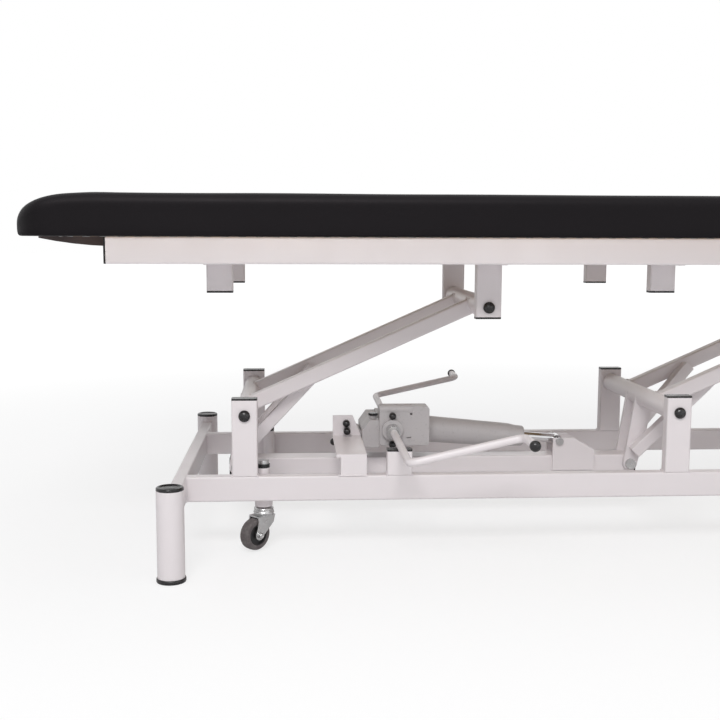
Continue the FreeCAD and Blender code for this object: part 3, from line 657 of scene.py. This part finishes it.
def cover_mesh(tailoring):
    """The closed shell of the cover before the stuffing pushes it out."""
    low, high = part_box("pad")
    board_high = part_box("pad_board")[1]
    slack = tailoring.slack
    half = high.x - slack
    width = high.y - slack
    bottom = low.z
    top = high.z - slack * 0.5
    board_x = board_high.x
    board_y = board_high.y
    tip = bottom + tailoring.tip

    def heights(x):
        reach = min(abs(x), half)
        under = max(reach - (half - tailoring.belly), 0) / tailoring.belly
        lower = tip - (tip - bottom) * math.sqrt(max(1 - under ** 2, 0))
        return lower, sweep(reach, half, tailoring, tip, top)

    def half_width(x):
        inside = abs(x) - (half - tailoring.corner_radius)
        if inside <= 0:
            return width
        chord = math.sqrt(max(tailoring.corner_radius ** 2 - inside ** 2, 0))
        return width - tailoring.corner_radius + chord

    mesh = bmesh.new()
    fractions = across(width, board_y)
    rows = []
    for x in stations(half, tailoring.nose):
        lower, upper = heights(x)
        reach = half_width(x)
        thick = upper - lower
        edge = min(tailoring.edge_radius, thick * 0.45)
        hem = min(tailoring.hem_radius, thick * 0.2)
        above = []
        below = []
        for fraction in fractions:
            y = fraction * reach
            inside = reach - abs(y)
            drop = edge - math.sqrt(max(edge ** 2 - max(edge - inside, 0) ** 2, 0))
            lift = hem - math.sqrt(max(hem ** 2 - max(hem - inside, 0) ** 2, 0))
            if abs(x) < board_x and abs(y) < board_y - 0.0005:
                lift = BOARD_RECESS
            above.append(mesh.verts.new((x, y, upper - drop)))
            below.append(mesh.verts.new((x, y, lower + lift)))
        sides = []
        for sign, start, end in ((-1, below[0], above[0]), (1, below[-1], above[-1])):
            wall = []
            for step in range(1, WALL_STEPS):
                part = step / WALL_STEPS
                z = start.co.z + (end.co.z - start.co.z) * part
                wall.append(mesh.verts.new((x, sign * reach, z)))
            sides.append([start] + wall + [end])
        rows.append((above, below, *sides))
    for row, following in zip(rows, rows[1:]):
        for first, second in zip(row, following):
            for step in range(len(first) - 1):
                mesh.faces.new((first[step], first[step + 1], second[step + 1], second[step]))
    bmesh.ops.remove_doubles(mesh, verts=mesh.verts, dist=2e-5)
    bmesh.ops.dissolve_degenerate(mesh, dist=1e-6, edges=mesh.edges)
    bmesh.ops.holes_fill(mesh, edges=[edge for edge in mesh.edges if edge.is_boundary])
    bmesh.ops.recalc_face_normals(mesh, faces=mesh.faces)
    return plain_mesh("pad_cover", mesh)


def stuff_cover(piece, tailoring):
    """Lets pressure push the cover out, and caps how far each point may go."""
    scene = bpy.context.scene
    rest = [vertex.co.copy() for vertex in piece.data.vertices]
    outward = [vertex.normal.copy() for vertex in piece.data.vertices]
    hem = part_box("pad")[0].z + HEM_BAND
    held = piece.vertex_groups.new(name="held")
    for index, place in enumerate(rest):
        weight = 1.0 if place.z < hem else 0.0
        held.add([index], weight, "REPLACE")
    cloth = piece.modifiers.new("stuffing", "CLOTH")
    cloth.settings.quality = 4
    cloth.settings.mass = 0.35
    cloth.settings.tension_stiffness = 18
    cloth.settings.compression_stiffness = 18
    cloth.settings.shear_stiffness = 8
    cloth.settings.bending_stiffness = 2.0
    cloth.settings.use_pressure = True
    cloth.settings.uniform_pressure_force = tailoring.pressure
    cloth.settings.vertex_group_mass = "held"
    cloth.settings.effector_weights.gravity = 0
    cloth.collision_settings.use_collision = False
    cloth.point_cache.frame_start = 1
    cloth.point_cache.frame_end = STUFFING_FRAMES
    for step in range(1, STUFFING_FRAMES + 1):
        scene.frame_set(step)
    evaluated = piece.evaluated_get(bpy.context.evaluated_depsgraph_get())
    pushed = [vertex.co.copy() for vertex in evaluated.data.vertices]
    piece.modifiers.remove(cloth)
    piece.vertex_groups.clear()
    scene.frame_set(1)
    for vertex, start, normal, end in zip(piece.data.vertices, rest, outward, pushed):
        move = end - start
        move -= normal * min(0.0, move.dot(normal))
        if move.length > tailoring.puff:
            move.length = tailoring.puff
        rise = (start.z - hem) / HEM_FADE
        vertex.co = start + move * max(0.0, min(1.0, rise))


def crease_cover(mesh):
    """Small pull lines where the vinyl is drawn round the corners, and a faint unevenness."""
    low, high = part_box("pad")
    normals = [vertex.normal.copy() for vertex in mesh.vertices]
    for vertex, normal in zip(mesh.vertices, normals):
        place = vertex.co
        sway = noise.noise(Vector((place.x * 5, place.y * 7, place.z * 9))) * SWAY
        corner = max(0.0, abs(place.x) - (high.x - CREASE_LENGTH)) / CREASE_LENGTH
        side = max(0.0, abs(place.y) - (high.y - CREASE_WIDTH)) / CREASE_WIDTH
        pull = noise.noise(Vector((place.x * 34, place.y * 34, place.z * 6))) * CREASE_DEPTH
        fade = min(1.0, corner * side * 3.0)
        if place.z > low.z + HEM_BAND:
            vertex.co = place + normal * (sway + pull * fade)


class COUCH_OT_upholster(bpy.types.Operator):
    """Make the stuffed vinyl pad"""
    bl_idname = "couch.upholster"
    bl_label = "Padded top"

    def execute(self, context):
        tailoring = context.scene.couch_upholstery
        piece = add_piece("pad_cover", cover_mesh(tailoring), "pad_vinyl")
        stuff_cover(piece, tailoring)
        crease_cover(piece.data)
        finer = piece.modifiers.new("finer", "SUBSURF")
        finer.levels = 1
        finer.render_levels = 1
        evaluated = piece.evaluated_get(context.evaluated_depsgraph_get())
        piece.data = bpy.data.meshes.new_from_object(evaluated)
        piece.modifiers.clear()
        piece.data.shade_smooth()
        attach(piece, "top")
        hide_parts("pad")
        return {"FINISHED"}


class COUCH_OT_staple(bpy.types.Operator):
    """Staple the vinyl's margin to the underside of the board"""
    bl_idname = "couch.staple"
    bl_label = "Staples and pad screws"

    def execute(self, context):
        tailoring = context.scene.couch_upholstery
        low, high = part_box("pad_board")
        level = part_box("pad")[0].z - 0.0003
        x = high.x + STAPLE_MARGIN
        y = high.y + STAPLE_MARGIN
        turn = STAPLE_CORNER
        corners = []
        for sx, sy, start in ((1, 1, 0), (-1, 1, 90), (-1, -1, 180), (1, -1, 270)):
            for step in range(5):
                angle = math.radians(start + step * 22.5)
                corners.append((sx * (x - turn) + turn * math.cos(angle),
                                sy * (y - turn) + turn * math.sin(angle), level))
        edges = [(step, (step + 1) % len(corners)) for step in range(len(corners))]
        bar = bmesh.new()
        bmesh.ops.create_cube(bar, size=1.0, matrix=Matrix.Diagonal((0.0105, 0.0012, 0.0009, 1)))
        bmesh.ops.bevel(bar, geom=bar.edges[:], offset=0.0003, segments=2, affect="EDGES")
        staple = new_object("staple", plain_mesh("staple", bar))
        downs = [(0, 0, -1)] * len(corners)
        grow("pad_staples", corners, edges, downs, stud_tree("staple_row", True),
             {"Part": staple, "Material": finish_for("staples"), "Pitch": tailoring.staple_pitch},
             "top")
        bpy.data.objects.remove(staple)
        self.screw_down(context.scene.couch_details.screw_radius)
        return {"FINISHED"}

    def screw_down(self, radius):
        """Flat-headed screws through the cross tubes into the board."""
        head = [(0, -0.0006), (radius * 0.30, -0.0006), (radius * 0.34, 0.0005), (radius * 0.62, 0.0007),
                (radius * 0.90, 0.0005), (radius, 0.0), (radius * 0.5, -0.001), (0, -0.001)]
        screw = new_object("pad_screw", lathe(head, 20))
        points = []
        for low, high in loose_boxes("top_cross_tubes"):
            for y in SCREW_ROWS:
                points.append(((low.x + high.x) / 2, y, low.z - 0.0001))
        grow("pad_screws", points, [], [(0, 0, -1)] * len(points), stud_tree("screw_row"),
             {"Part": screw, "Material": finish_for("zinc_steel")}, "top")
        bpy.data.objects.remove(screw)


# ---------------------------------------------------------------- frame details
def ring_path(centre, axis, radius):
    """Points round a circle about an axis, the first one repeated at the end."""
    turn = facing(centre, axis)
    points = []
    for step in range(RING_STEPS + 1):
        angle = math.radians(360 * step / RING_STEPS)
        points.append(turn @ Vector((radius * math.cos(angle), radius * math.sin(angle), 0)))
    return points


def run(start, end):
    """One straight weld."""
    return [Vector(start), Vector(end)]


def upright(x, y, low, high):
    """One weld up the corner of a tube."""
    return run((x, y, low + TUBE_SEAM_INSET), (x, y, high - TUBE_SEAM_INSET))


def box_seams(node, level, skip_y=False):
    """Weld lines round the foot or head of each upright piece of a node, at one height."""
    seams = []
    for low, high in loose_boxes(node):
        xs, ys = (low.x, high.x), (low.y, high.y)
        for x in xs:
            seams.append(run((x, ys[0] + SEAM_INSET, level), (x, ys[1] - SEAM_INSET, level)))
        if skip_y:
            continue
        for y in ys:
            seams.append(run((xs[0] + SEAM_INSET, y, level), (xs[1] - SEAM_INSET, y, level)))
    return seams


def loose_boxes(node):
    """The box of each separate solid in a CAD node, found from its joined triangles."""
    data = frame["nodes"][node].data
    mesh = bmesh.new()
    mesh.from_mesh(data)
    bmesh.ops.remove_doubles(mesh, verts=mesh.verts, dist=1e-6)
    mesh.verts.ensure_lookup_table()
    unseen = set(range(len(mesh.verts)))
    boxes = []
    while unseen:
        stack = [unseen.pop()]
        low = Vector((1e9,) * 3)
        high = Vector((-1e9,) * 3)
        while stack:
            vertex = mesh.verts[stack.pop()]
            low = Vector(map(min, low, vertex.co))
            high = Vector(map(max, high, vertex.co))
            for edge in vertex.link_edges:
                other = edge.other_vert(vertex).index
                if other in unseen:
                    unseen.remove(other)
                    stack.append(other)
        boxes.append((low, high))
    mesh.free()
    return boxes


def base_seams():
    seams = box_seams("arm_posts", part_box("base_tube_near")[1].z, True)
    seams += box_seams("pedal_rest_posts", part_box("base_tube_near")[1].z, True)
    for low, high in loose_boxes("base_end_tubes"):
        for side in ("base_tube_near", "base_tube_far"):
            tube_low, tube_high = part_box(side)
            inner = low.x if low.x > 0 else high.x
            for y in (tube_low.y, tube_high.y):
                seams.append(upright(inner, y, low.z, high.z))
    for low, high in loose_boxes("support_columns"):
        centre = (low + high) / 2
        sign = 1 if centre.y < 0 else -1
        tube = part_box("base_end_tubes")
        reach = centre.y + sign * COLUMN_REACH
        for x in (centre.x - 0.010, centre.x + 0.010):
            seams.append(upright(x, reach, tube[0].z, tube[1].z))
        for z in (tube[0].z, tube[1].z):
            seams.append(run((centre.x - 0.009, reach, z), (centre.x + 0.009, reach, z)))
    for low, high in loose_boxes("caster_sleeves"):
        x = (low.x + high.x) / 2
        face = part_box("base_tube_near")[1].y * (1 if low.y < 0 else -1)
        for edge in (x - SLEEVE_REACH, x + SLEEVE_REACH):
            seams.append(run((edge, face, SLEEVE_LOW), (edge, face, SLEEVE_HIGH)))
    low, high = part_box("pump_bracket")
    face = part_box("base_tube_near")[1].z
    seams.append(run((low.x + 0.005, low.y, face), (high.x - SEAM_INSET, low.y, face)))
    return seams


def arm_seams(side):
    """Welds of the arms, and of the levers, round a pair's pivot tubes."""
    seams = []
    for end in ("lower", "upper"):
        tube_low, tube_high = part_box(side + "_" + end + "_pivot_tube")
        centre = (tube_low + tube_high) / 2
        radius = (tube_high.z - tube_low.z) / 2 + 0.0004
        for arm_low, arm_high in loose_boxes(side + "_arms"):
            for y in (arm_low.y, arm_high.y):
                path = ring_path((centre.x, y, centre.z), (0, 1, 0), radius)
                seams.append([point for point in path if toward_arm(point, centre, end)])
        for plate_low, plate_high in (loose_boxes(side + "_levers") if end == "lower" else []):
            for y in (plate_low.y, plate_high.y):
                path = ring_path((centre.x, y, centre.z), (0, 1, 0), radius)
                seams.append([point for point in path if point.z < centre.z - LEVER_WELD_START])
    return [seam for seam in seams if len(seam) > 1]


def toward_arm(point, centre, end):
    """True on the side of a pivot tube that the arm leaves from."""
    slope = math.radians(ARM_SLOPE)
    along = (point.x - centre.x) * math.cos(slope) + (point.z - centre.z) * math.sin(slope)
    return along > ARM_WELD_START if end == "lower" else along < -ARM_WELD_START


def top_seams():
    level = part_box("top_rail_near")[0].z
    seams = box_seams("arm_brackets", level)
    seams += box_seams("stop_stubs", level)
    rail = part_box("top_rail_near")
    for low, high in loose_boxes("top_cross_tubes"):
        for sign in (-1, 1):
            y = sign * -rail[1].y
            for x in (low.x, high.x):
                seams.append(upright(x, y, low.z, high.z))
            seams.append(run((low.x + SEAM_INSET, y, low.z), (high.x - SEAM_INSET, y, low.z)))
    return seams


def tie_seams():
    low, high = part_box("ram_gussets")
    seams = []
    for plate_low, plate_high in loose_boxes("ram_gussets"):
        inner = plate_high.y if plate_low.y < 0 else plate_low.y
        seams.append(run((low.x + 0.002, inner, low.z), (high.x - 0.002, inner, low.z)))
    return seams


class COUCH_OT_weld(bpy.types.Operator):
    """Lay weld beads along the frame's joints"""
    bl_idname = "couch.weld"
    bl_label = "Weld beads"

    def execute(self, context):
        details = context.scene.couch_details
        tree = bead_tree()
        inputs = {"Radius": details.weld_radius, "Pitch": details.weld_pitch,
                  "Material": finish_for("white_paint")}
        groups = (("base", base_seams()), ("lift_arms_left", arm_seams("left")),
                  ("lift_arms_right", arm_seams("right")), ("top", top_seams()),
                  ("tie_bar", tie_seams()))
        for body, seams in groups:
            points = []
            edges = []
            for seam in seams:
                first = len(points)
                points.extend(tuple(point) for point in seam)
                edges.extend((step, step + 1) for step in range(first, len(points) - 1))
            grow(body + "_welds", points, edges, None, tree, inputs, body)
        return {"FINISHED"}


class COUCH_OT_caps(bpy.types.Operator):
    """Add the moulded rims of the column caps and feet"""
    bl_idname = "couch.caps"
    bl_label = "Moulded cap details"

    def execute(self, context):
        rim = lathe(CAP_RIM, 56)
        skirt = lathe(FOOT_LIP, 56)
        tops = []
        feet = []
        for low, high in loose_boxes("support_columns"):
            centre = (low + high) / 2
            tops.append((rim, Matrix.Translation((centre.x, centre.y, high.z + 0.003))))
            feet.append((skirt, Matrix.Translation((centre.x, centre.y, 0.0002))))
        for name, parts in (("column_cap_rims", tops), ("column_foot_lips", feet)):
            add_piece(name, merged(name, parts), "black_plastic", "base")
        return {"FINISHED"}


class COUCH_OT_pump_details(bpy.types.Operator):
    """Add the filler cap's ribs and the ram's wiper ring"""
    bl_idname = "couch.pump_details"
    bl_label = "Pump details"

    def execute(self, context):
        self.rib_filler(context.scene.couch_details)
        self.wiper()
        return {"FINISHED"}

    def rib_filler(self, details):
        caps = [box for box in loose_boxes("pump_black_caps") if box[1].z - box[0].z < 0.006]
        low, high = caps[0]
        centre = (low + high) / 2
        path = ring_path((centre.x, centre.y, centre.z), (0, 0, 1), (high.x - low.x) / 2)[:-1]
        edges = [(step, (step + 1) % len(path)) for step in range(len(path))]
        rib = bmesh.new()
        bmesh.ops.create_cone(rib, segments=6, radius1=0.0006, radius2=0.0005, depth=0.0036,
                              cap_ends=True)
        part = new_object("filler_rib", plain_mesh("filler_rib", rib))
        grow("filler_cap_ribs", [tuple(point) for point in path], edges, [(0, 0, 1)] * len(path),
             stud_tree("rib_ring", True), {"Part": part, "Material": finish_for("black_plastic"),
                                           "Pitch": details.knurl_pitch}, "base")
        bpy.data.objects.remove(part)

    def wiper(self):
        slide = next(joint for joint in frame["joints"] if joint["name"] == "ram_stroke")
        axis = Vector(slide["axis"])
        low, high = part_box("cylinder_barrel")
        middle = (low + high) / 2
        end = middle + axis * (high.x - low.x) * 0.5
        mesh = merged("wiper_ring", [(lathe(WIPER, 40), facing(end, axis))])
        add_piece("wiper_ring", mesh, "black_plastic", "base")


class COUCH_OT_castor_details(bpy.types.Operator):
    """Add the swaged raceways, axle rivets and tread lines of the castors"""
    bl_idname = "couch.castor_details"
    bl_label = "Castor details"

    def execute(self, context):
        joints = {joint["name"]: joint for joint in frame["joints"]}
        raceway = lathe(RACEWAY, 56)
        rivet = lathe(RIVET, 28)
        line = lathe(TREAD_LINE, 72)
        for name in CASTORS:
            swivel = joints["caster_swivel_" + name]
            roll = joints["caster_roll_" + name]
            place = Vector((swivel["pos_m"][0], swivel["pos_m"][1], 0))
            axle = Vector(roll["pos_m"])
            axis = Vector(roll["axis"])
            body = "caster_swivel_" + name
            ring = merged("raceway", [(raceway, Matrix.Translation(place))])
            add_piece("castor_raceway_" + name, ring, "zinc_steel", body)
            ends = [(rivet, facing(axle + axis * RIVET_REACH, axis)),
                    (rivet, facing(axle - axis * RIVET_REACH, -axis))]
            add_piece("castor_rivets_" + name, merged("rivets", ends), "zinc_steel", body)
            tread = merged("tread_line", [(line, facing(axle, axis))])
            add_piece("castor_tread_line_" + name, tread, "castor_tread", "caster_wheel_" + name)
        return {"FINISHED"}


class COUCH_OT_finish(bpy.types.Operator):
    """Paint, plate and polish the frame's parts"""
    bl_idname = "couch.finish"
    bl_label = "Finishes"

    def execute(self, context):
        slots = {part["node"]: part["material_slot"] for part in frame["record"]["subparts"]}
        for node, piece in frame["nodes"].items():
            piece.data.materials.clear()
            piece.data.materials.append(finish_for(slots[node]))
        return {"FINISHED"}


# ---------------------------------------------------------------- stage
def lamp(name, power, place, target, wide, tall):
    """A soft rectangular lamp at place, aimed at target."""
    data = bpy.data.lights.new(name, "AREA")
    data.energy = power
    data.shape = "RECTANGLE"
    data.size = wide
    data.size_y = tall
    holder = new_object(name, data)
    turn = (Vector(target) - Vector(place)).to_track_quat("-Z", "Y")
    holder.matrix_world = Matrix.Translation(place) @ turn.to_matrix().to_4x4()
    return holder


def floor_material(base):
    """A pale floor that reads as white to the camera and keeps the couch's shadow."""
    material = bpy.data.materials.new("studio_floor")
    material.use_nodes = True
    tree = material.node_tree
    tree.nodes.clear()
    matt = tree.nodes.new("ShaderNodeBsdfDiffuse")
    matt.inputs["Color"].default_value = (*base, 1.0)
    glow = tree.nodes.new("ShaderNodeEmission")
    glow.inputs["Strength"].default_value = FLOOR_GLOW
    share = tree.nodes.new("ShaderNodeMixShader")
    path = tree.nodes.new("ShaderNodeLightPath")
    place = tree.nodes.new("ShaderNodeTexCoord")
    distance = new_node(tree, "ShaderNodeVectorMath", operation="LENGTH")
    fade = new_node(tree, "ShaderNodeMapRange", interpolation_type="SMOOTHSTEP")
    for key, value in GLOW_SPAN:
        fade.inputs[key].default_value = value
    portion = new_node(tree, "ShaderNodeMath", operation="MULTIPLY")
    output = tree.nodes.new("ShaderNodeOutputMaterial")
    wire(tree, (place.outputs["Object"], distance.inputs[0]),
         (distance.outputs["Value"], fade.inputs["Value"]),
         (path.outputs["Is Camera Ray"], portion.inputs[0]),
         (fade.outputs["Result"], portion.inputs[1]),
         (portion.outputs["Value"], share.inputs["Fac"]),
         (matt.outputs["BSDF"], share.inputs[1]),
         (glow.outputs["Emission"], share.inputs[2]),
         (share.outputs["Shader"], output.inputs["Surface"]))
    return material


def room_light(strength):
    """An even room light that looks white to the camera and in reflections."""
    world = bpy.data.worlds.new("studio")
    bpy.context.scene.world = world
    world.use_nodes = True
    tree = world.node_tree
    tree.nodes.clear()
    path = tree.nodes.new("ShaderNodeLightPath")
    seen = new_node(tree, "ShaderNodeMath", operation="MAXIMUM")
    through = new_node(tree, "ShaderNodeMath", operation="MAXIMUM")
    level = tree.nodes.new("ShaderNodeMapRange")
    level.inputs["To Min"].default_value = strength
    level.inputs["To Max"].default_value = 1.0
    sky = tree.nodes.new("ShaderNodeBackground")
    sky.inputs["Color"].default_value = (1.0, 1.0, 1.0, 1.0)
    output = tree.nodes.new("ShaderNodeOutputWorld")
    wire(tree, (path.outputs["Is Camera Ray"], seen.inputs[0]),
         (path.outputs["Is Glossy Ray"], seen.inputs[1]),
         (seen.outputs["Value"], through.inputs[0]),
         (path.outputs["Is Transmission Ray"], through.inputs[1]),
         (through.outputs["Value"], level.inputs["Value"]),
         (level.outputs["Result"], sky.inputs["Strength"]),
         (sky.outputs["Background"], output.inputs["Surface"]))


class COUCH_OT_stage(bpy.types.Operator):
    """Set the floor, the lamps and the camera"""
    bl_idname = "couch.stage"
    bl_label = "Floor, lamps and camera"

    def execute(self, context):
        stage = context.scene.couch_stage
        mesh = bpy.data.meshes.new("floor")
        corners = [(x * FLOOR_HALF, y * FLOOR_HALF, 0) for x, y in ((-1, -1), (1, -1), (1, 1), (-1, 1))]
        mesh.from_pydata(corners, [], [(0, 1, 2, 3)])
        mesh.materials.append(floor_material(tuple(stage.floor)))
        floor = new_object("floor", mesh)
        floor.location.z = FLOOR_DROP
        room_light(stage.ambient)
        lamps = {name: lamp(name, getattr(stage, power), *layout) for name, power, *layout in LAMPS}
        lit = bpy.data.collections.new("rail_light")
        lit.objects.link(frame["nodes"]["top_rail_near"])
        lamps["rail_lamp"].light_linking.receiver_collection = lit
        self.aim_camera(context.scene)
        context.scene.view_settings.view_transform = "Standard"
        return {"FINISHED"}

    def aim_camera(self, scene):
        data = bpy.data.cameras.new("camera")
        data.lens = CAMERA_LENS
        data.sensor_width = SENSOR_WIDTH
        holder = new_object("camera", data)
        bearing = math.radians(CAMERA_BEARING)
        tilt = math.radians(CAMERA_TILT)
        lean = math.radians(CAMERA_LEAN)
        turn = (Matrix.Rotation(-bearing, 4, "Z") @ Matrix.Rotation(math.pi / 2 - tilt, 4, "X")
                @ Matrix.Rotation(lean, 4, "Z"))
        holder.matrix_world = Matrix.Translation(CAMERA_PLACE) @ turn
        scene.camera = holder


# ---------------------------------------------------------------- add-on
STEPS = (COUCH_OT_finish, COUCH_OT_upholster, COUCH_OT_staple, COUCH_OT_weld, COUCH_OT_caps,
         COUCH_OT_pump_details, COUCH_OT_castor_details, COUCH_OT_stage)
GROUPS = (("couch_finishes", CouchFinishes), ("couch_upholstery", CouchUpholstery),
          ("couch_details", CouchDetails), ("couch_stage", CouchStage))


class COUCH_PT_panel(bpy.types.Panel):
    """Lists the steps that make the couch"""
    bl_idname = "COUCH_PT_panel"
    bl_label = "Examination couch"
    bl_space_type = "VIEW_3D"
    bl_region_type = "UI"
    bl_category = "Couch"

    def draw(self, context):
        for name, group in GROUPS:
            box = self.layout.box()
            for field in group.__annotations__:
                box.prop(getattr(context.scene, name), field)
        for step in STEPS:
            self.layout.operator(step.bl_idname)


def register():
    for name, group in GROUPS:
        bpy.utils.register_class(group)
        setattr(bpy.types.Scene, name, PointerProperty(type=group))
    for item in (*STEPS, COUCH_PT_panel):
        bpy.utils.register_class(item)


def unregister():
    for item in (COUCH_PT_panel, *reversed(STEPS)):
        bpy.utils.unregister_class(item)
    for name, group in reversed(GROUPS):
        delattr(bpy.types.Scene, name)
        bpy.utils.unregister_class(group)


def main():
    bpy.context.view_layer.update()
    register()
    for step in STEPS:
        area, verb = step.bl_idname.split(".")
        getattr(getattr(bpy.ops, area), verb)()


if __name__ == "__main__":
    main()
